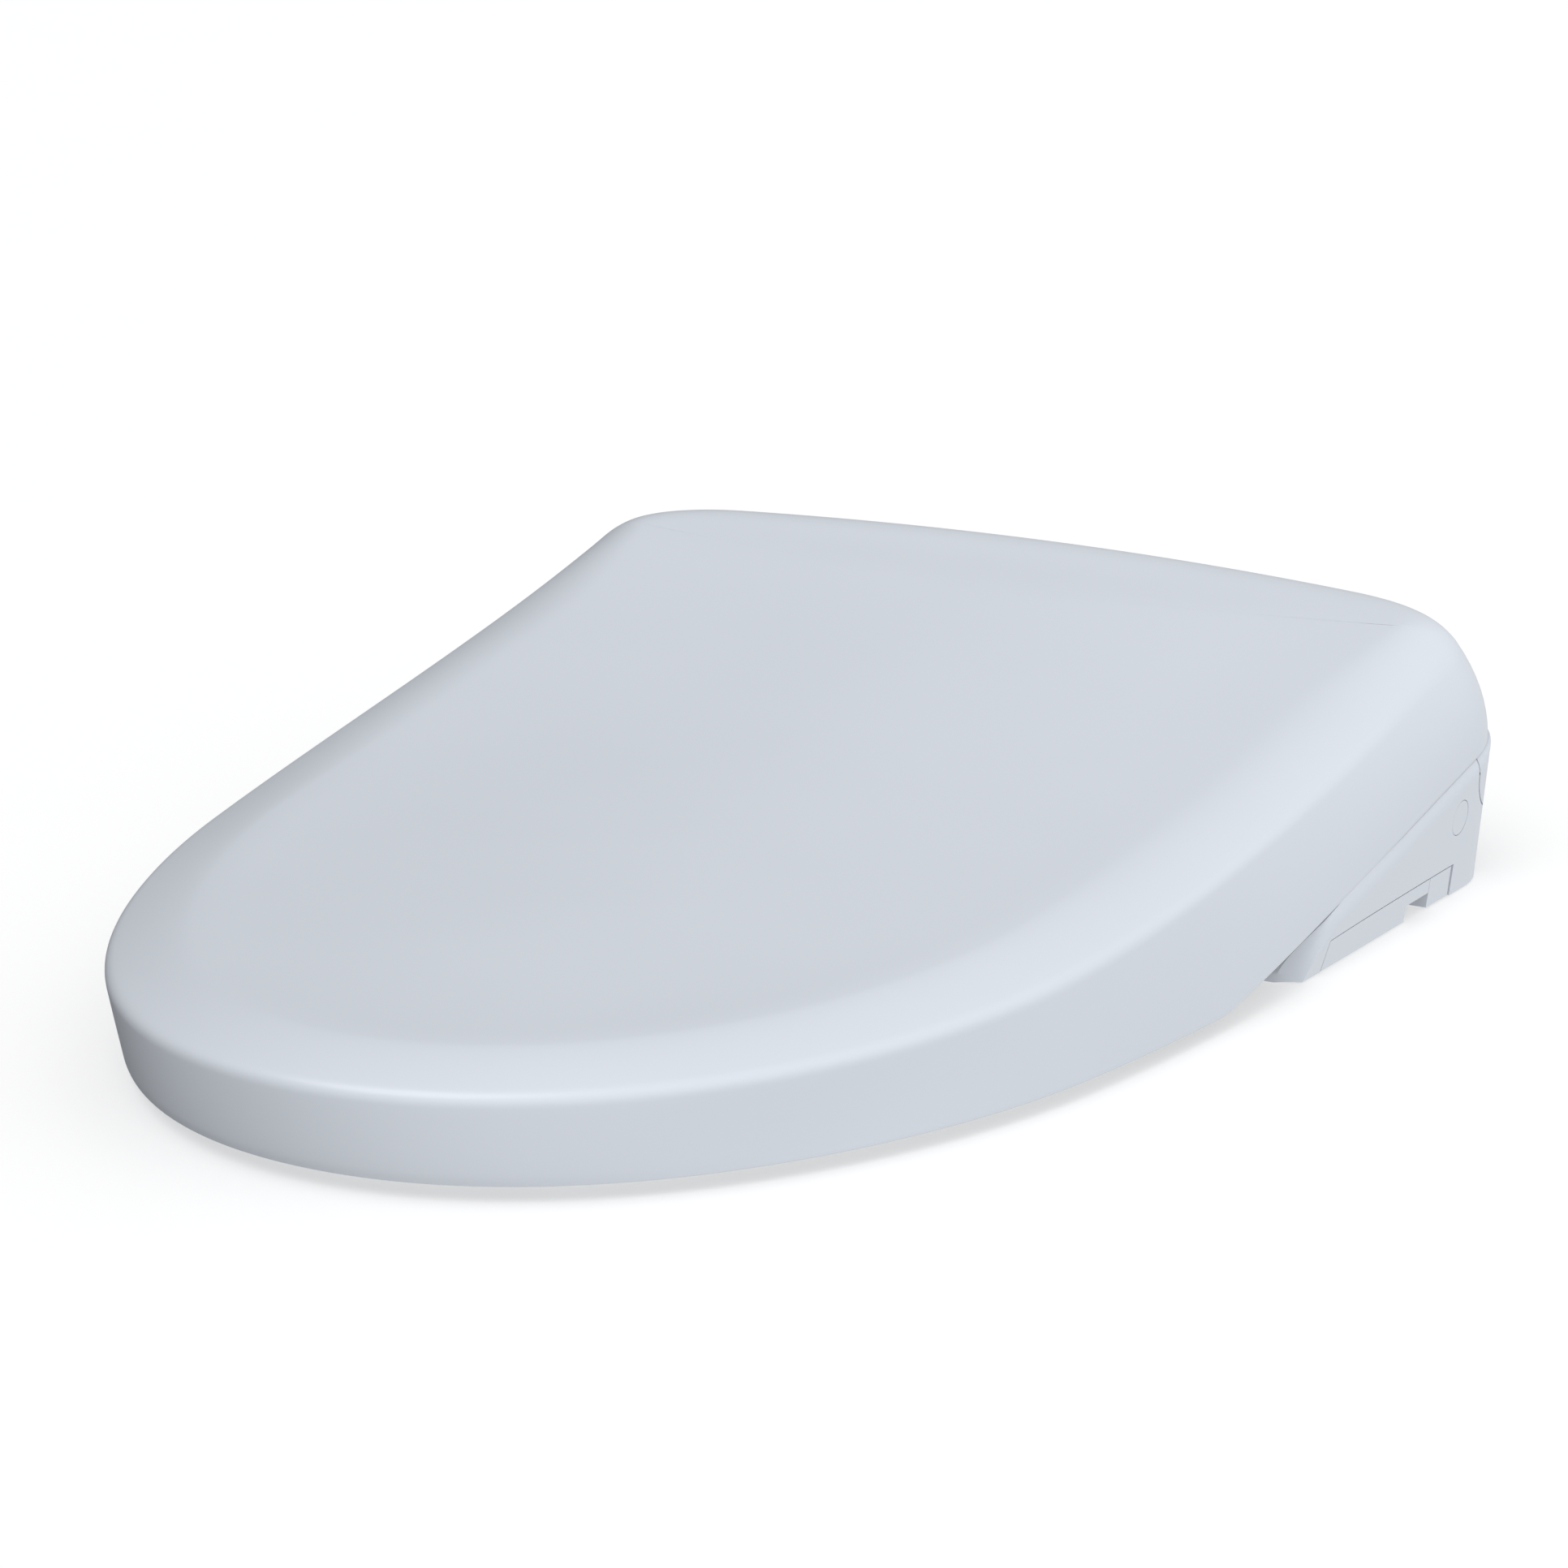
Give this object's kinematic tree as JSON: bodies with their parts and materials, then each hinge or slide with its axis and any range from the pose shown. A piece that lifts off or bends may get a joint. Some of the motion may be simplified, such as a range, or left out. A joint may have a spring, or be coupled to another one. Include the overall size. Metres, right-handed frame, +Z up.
{
  "type": "electric bidet seat",
  "caption": "Slim electric bidet seat: heated seat ring and ramp-shaped lid hinged to a washing and drying unit that bolts to an elongated toilet bowl.",
  "frame": {"origin": "midway between the two mounting bolts, on the face that lies on the bowl", "axes": "+Z up, -Y towards the front of the bowl, +X to the side of the release button"},
  "size_m": [0.3854, 0.5311, 0.0986],
  "materials": {
    "white_cover": "semi-gloss cool white",
    "white_lid": "semi-gloss cool white",
    "white_seat": "semi-gloss cool white",
    "white_part": "semi-gloss white",
    "grey_plastic": "moulded satin grey",
    "dark_plastic": "moulded matt",
    "window": "tinted, glossy",
    "rubber": "soft pale grey",
    "steel": "brushed",
    "brass": "machined",
    "aluminium": "finned, plain",
    "copper_board": "green circuit board",
    "heater_body": "moulded cream",
    "heater_foil": "foil",
    "hose": "translucent pale blue"
  },
  "bodies": {
    "unit": {"mounting_bracket": "grey_plastic", "bottom_case": "white_part", "upper_cover": "white_cover", "side_caps": "white_cover", "hinge_pins": "steel", "lid_dampers": "dark_plastic", "water_inlet": "brass", "strainer_plug": "grey_plastic", "valve_block": "grey_plastic", "water_heater": "heater_body", "water_hoses": "hose", "control_board": "copper_board", "power_board": "copper_board", "wand_guide": "grey_plastic", "wand_motor": "steel", "dryer_housing": "grey_plastic", "dryer_heater": "aluminium", "deodorizer_housing": "grey_plastic", "cable_gland": "dark_plastic", "case_screws": "steel", "cover_windows": "window", "release_spring": "steel"},
    "seat": {"seat_top": "white_seat", "seat_base": "white_part", "seat_heater": "heater_foil", "seat_arms": "white_part", "seat_screws": "steel", "seat_bumpers": "rubber"},
    "lid": {"lid_shell": "white_lid", "lid_arms": "white_lid", "lid_bumpers": "rubber"},
    "wand": {"wand_tube": "white_part", "wand_tip": "white_part"},
    "pinion": {"wand_pinion": "grey_plastic"},
    "release_key": {"release_button": "white_cover"},
    "dryer_fan": {"dryer_impeller": "dark_plastic"},
    "outlet_flap": {"dryer_flap": "white_part"},
    "deodorizer_fan": {"deodorizer_impeller": "dark_plastic"},
    "cartridge": {"deodorizer_cartridge": "dark_plastic"},
    "power_key": {"power_button": "white_cover"},
    "wash_key": {"wash_button": "white_cover"}
  },
  "joints": [
    {"name": "seat_hinge", "type": "hinge", "parent": "unit", "child": "seat", "pos_m": [0, 0.013, 0.0435], "axis": [-1, 0, 0], "range_deg": [0, 93]},
    {"name": "lid_hinge", "type": "hinge", "parent": "seat", "child": "lid", "pos_m": [0, 0.013, 0.0435], "axis": [1, 0, 0], "range_deg": [-95, 0]},
    {"name": "wand_slide", "type": "slide", "parent": "unit", "child": "wand", "axis": [0, -0.9063, -0.4226], "range_m": [0, 0.06]},
    {"name": "pinion_spin", "type": "hinge", "parent": "unit", "child": "pinion", "pos_m": [0, -0.05348, 0.04649], "axis": [1, 0, 0], "range_deg": [-30, 520]},
    {"name": "release_press", "type": "slide", "parent": "unit", "child": "release_key", "axis": [-1, 0, 0], "range_m": [0, 0.004], "stiffness_N_per_m": 900, "springref_m": -0.002},
    {"name": "dryer_fan_spin", "type": "hinge", "parent": "unit", "child": "dryer_fan", "pos_m": [0, -0.022, 0.038], "axis": [1, 0, 0], "continuous": true},
    {"name": "flap_hinge", "type": "hinge", "parent": "unit", "child": "outlet_flap", "pos_m": [0, -0.0804, 0.034], "axis": [-1, 0, 0], "range_deg": [0, 25]},
    {"name": "deodorizer_fan_spin", "type": "hinge", "parent": "unit", "child": "deodorizer_fan", "pos_m": [0, -0.026, 0.044], "axis": [1, 0, 0], "continuous": true},
    {"name": "cartridge_pull", "type": "slide", "parent": "unit", "child": "cartridge", "axis": [0, -1, 0], "range_m": [0, 0.03]},
    {"name": "power_press", "type": "slide", "parent": "unit", "child": "power_key", "axis": [1, 0, 0], "range_m": [0, 0.0015], "stiffness_N_per_m": 1200, "springref_m": -0.001},
    {"name": "wash_press", "type": "slide", "parent": "unit", "child": "wash_key", "axis": [1, 0, 0], "range_m": [0, 0.0015], "stiffness_N_per_m": 1200, "springref_m": -0.001}
  ],
  "couplings": [
    {"joint": "pinion_spin", "follows": "wand_slide", "rad_per_m": 139.8}
  ]
}
